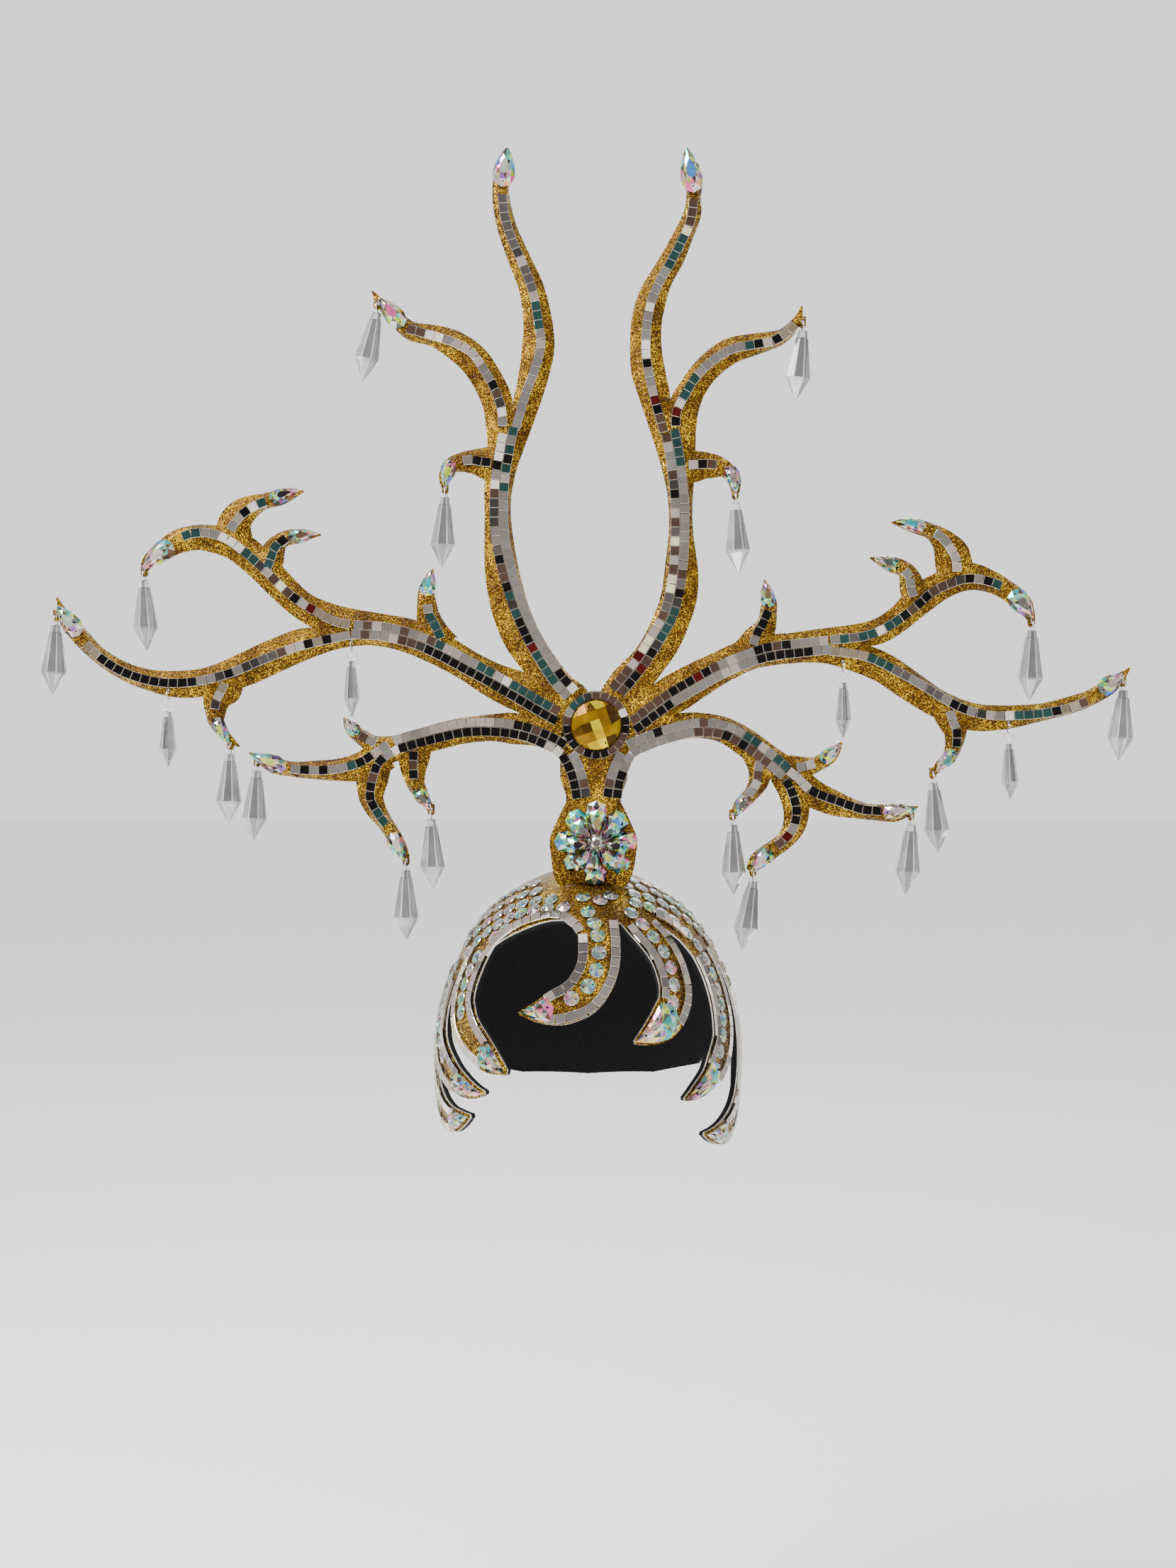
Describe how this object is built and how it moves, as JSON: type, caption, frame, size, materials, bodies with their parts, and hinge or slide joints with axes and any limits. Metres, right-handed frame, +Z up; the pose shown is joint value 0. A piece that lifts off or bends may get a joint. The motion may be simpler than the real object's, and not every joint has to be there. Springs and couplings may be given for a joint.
{
  "type": "carnival crown",
  "caption": "Flat-cut branching crown in gold glitter foam with mirror tile rows, tip stones and hanging crystal drops, on a dome-shaped cap whose edge is cut into curls.",
  "frame": {"origin": "inner top of the cap, where the crown rests on the head", "axes": "+Z up, the decorated front faces -Y, +X along the frame's widest reach, to the viewer's right"},
  "size_m": [0.6716, 0.2149, 0.6145],
  "materials": {
    "gold_glitter_foam": "gold glitter",
    "mirror_tile": "bright",
    "ab_stone": "faceted, with a rainbow coating",
    "amber_stone": "faceted",
    "clear_drop": "faceted"
  },
  "bodies": {
    "crown": {"cap_shell": "gold_glitter_foam", "branch_frame": "gold_glitter_foam", "left_branches": "gold_glitter_foam", "right_branches": "gold_glitter_foam", "back_brace": "gold_glitter_foam", "mirror_rows": "mirror_tile", "amber_stone": "amber_stone", "flower_brooch": "ab_stone", "curl_trim_1": "mirror_tile", "curl_trim_2": "mirror_tile", "curl_trim_3": "mirror_tile", "curl_trim_4": "mirror_tile", "curl_trim_5": "mirror_tile", "curl_trim_6": "mirror_tile", "curl_trim_7": "mirror_tile", "tip_stone_left_01": "ab_stone", "tip_stone_left_02": "ab_stone", "tip_stone_left_03": "ab_stone", "tip_stone_left_04": "ab_stone", "tip_stone_left_05": "ab_stone", "tip_stone_left_06": "ab_stone", "tip_stone_left_07": "ab_stone", "tip_stone_left_08": "ab_stone", "tip_stone_left_09": "ab_stone", "tip_stone_left_10": "ab_stone", "tip_stone_left_11": "ab_stone", "tip_stone_left_12": "ab_stone", "tip_stone_left_13": "ab_stone", "tip_stone_right_01": "ab_stone", "tip_stone_right_02": "ab_stone", "tip_stone_right_03": "ab_stone", "tip_stone_right_04": "ab_stone", "tip_stone_right_05": "ab_stone", "tip_stone_right_06": "ab_stone", "tip_stone_right_07": "ab_stone", "tip_stone_right_08": "ab_stone", "tip_stone_right_09": "ab_stone", "tip_stone_right_10": "ab_stone", "tip_stone_right_11": "ab_stone", "tip_stone_right_12": "ab_stone"},
    "drop_left_01_body": {"drop_left_01": "clear_drop"},
    "drop_left_02_body": {"drop_left_02": "clear_drop"},
    "drop_left_03_body": {"drop_left_03": "clear_drop"},
    "drop_left_04_body": {"drop_left_04": "clear_drop"},
    "drop_left_05_body": {"drop_left_05": "clear_drop"},
    "drop_left_06_body": {"drop_left_06": "clear_drop"},
    "drop_left_07_body": {"drop_left_07": "clear_drop"},
    "drop_left_08_body": {"drop_left_08": "clear_drop"},
    "drop_left_09_body": {"drop_left_09": "clear_drop"},
    "drop_left_10_body": {"drop_left_10": "clear_drop"},
    "drop_right_01_body": {"drop_right_01": "clear_drop"},
    "drop_right_02_body": {"drop_right_02": "clear_drop"},
    "drop_right_03_body": {"drop_right_03": "clear_drop"},
    "drop_right_04_body": {"drop_right_04": "clear_drop"},
    "drop_right_05_body": {"drop_right_05": "clear_drop"},
    "drop_right_06_body": {"drop_right_06": "clear_drop"},
    "drop_right_07_body": {"drop_right_07": "clear_drop"},
    "drop_right_08_body": {"drop_right_08": "clear_drop"},
    "drop_right_09_body": {"drop_right_09": "clear_drop"},
    "drop_right_10_body": {"drop_right_10": "clear_drop"}
  },
  "joints": [
    {"name": "drop_left_01_swing", "type": "hinge", "parent": "crown", "child": "drop_left_01_body", "pos_m": [-0.32764, -0.05, 0.15791], "axis": [1, 0, 0], "range_deg": [-60, 60]},
    {"name": "drop_left_02_swing", "type": "hinge", "parent": "crown", "child": "drop_left_02_body", "pos_m": [-0.27352, -0.05, 0.18524], "axis": [1, 0, 0], "range_deg": [-60, 60]},
    {"name": "drop_left_03_swing", "type": "hinge", "parent": "crown", "child": "drop_left_03_body", "pos_m": [-0.25867, -0.05, 0.11141], "axis": [1, 0, 0], "range_deg": [-60, 60]},
    {"name": "drop_left_04_swing", "type": "hinge", "parent": "crown", "child": "drop_left_04_body", "pos_m": [-0.22039, -0.05, 0.07839], "axis": [1, 0, 0], "range_deg": [-60, 60]},
    {"name": "drop_left_05_swing", "type": "hinge", "parent": "crown", "child": "drop_left_05_body", "pos_m": [-0.20389, -0.05, 0.0681], "axis": [1, 0, 0], "range_deg": [-60, 60]},
    {"name": "drop_left_06_swing", "type": "hinge", "parent": "crown", "child": "drop_left_06_body", "pos_m": [-0.14581, -0.05, 0.14229], "axis": [1, 0, 0], "range_deg": [-60, 60]},
    {"name": "drop_left_07_swing", "type": "hinge", "parent": "crown", "child": "drop_left_07_body", "pos_m": [-0.11215, -0.05, 0.00703], "axis": [1, 0, 0], "range_deg": [-60, 60]},
    {"name": "drop_left_08_swing", "type": "hinge", "parent": "crown", "child": "drop_left_08_body", "pos_m": [-0.09664, -0.05, 0.03828], "axis": [1, 0, 0], "range_deg": [-60, 60]},
    {"name": "drop_left_09_swing", "type": "hinge", "parent": "crown", "child": "drop_left_09_body", "pos_m": [-0.08806, -0.05, 0.23636], "axis": [1, 0, 0], "range_deg": [-60, 60]},
    {"name": "drop_left_10_swing", "type": "hinge", "parent": "crown", "child": "drop_left_10_body", "pos_m": [-0.12997, -0.05, 0.34997], "axis": [1, 0, 0], "range_deg": [-60, 60]},
    {"name": "drop_right_01_swing", "type": "hinge", "parent": "crown", "child": "drop_right_01_body", "pos_m": [0.13225, -0.05, 0.33878], "axis": [1, 0, 0], "range_deg": [-60, 60]},
    {"name": "drop_right_02_swing", "type": "hinge", "parent": "crown", "child": "drop_right_02_body", "pos_m": [0.0908, -0.05, 0.23281], "axis": [1, 0, 0], "range_deg": [-60, 60]},
    {"name": "drop_right_03_swing", "type": "hinge", "parent": "crown", "child": "drop_right_03_body", "pos_m": [0.27329, -0.05, 0.15436], "axis": [1, 0, 0], "range_deg": [-60, 60]},
    {"name": "drop_right_04_swing", "type": "hinge", "parent": "crown", "child": "drop_right_04_body", "pos_m": [0.32972, -0.05, 0.11744], "axis": [1, 0, 0], "range_deg": [-60, 60]},
    {"name": "drop_right_05_swing", "type": "hinge", "parent": "crown", "child": "drop_right_05_body", "pos_m": [0.2591, -0.05, 0.09152], "axis": [1, 0, 0], "range_deg": [-60, 60]},
    {"name": "drop_right_06_swing", "type": "hinge", "parent": "crown", "child": "drop_right_06_body", "pos_m": [0.21257, -0.05, 0.06064], "axis": [1, 0, 0], "range_deg": [-60, 60]},
    {"name": "drop_right_07_swing", "type": "hinge", "parent": "crown", "child": "drop_right_07_body", "pos_m": [0.19904, -0.05, 0.03508], "axis": [1, 0, 0], "range_deg": [-60, 60]},
    {"name": "drop_right_08_swing", "type": "hinge", "parent": "crown", "child": "drop_right_08_body", "pos_m": [0.15713, -0.05, 0.12915], "axis": [1, 0, 0], "range_deg": [-60, 60]},
    {"name": "drop_right_09_swing", "type": "hinge", "parent": "crown", "child": "drop_right_09_body", "pos_m": [0.08915, -0.05, 0.0349], "axis": [1, 0, 0], "range_deg": [-60, 60]},
    {"name": "drop_right_10_swing", "type": "hinge", "parent": "crown", "child": "drop_right_10_body", "pos_m": [0.10169, -0.05, 0.00029], "axis": [1, 0, 0], "range_deg": [-60, 60]}
  ]
}
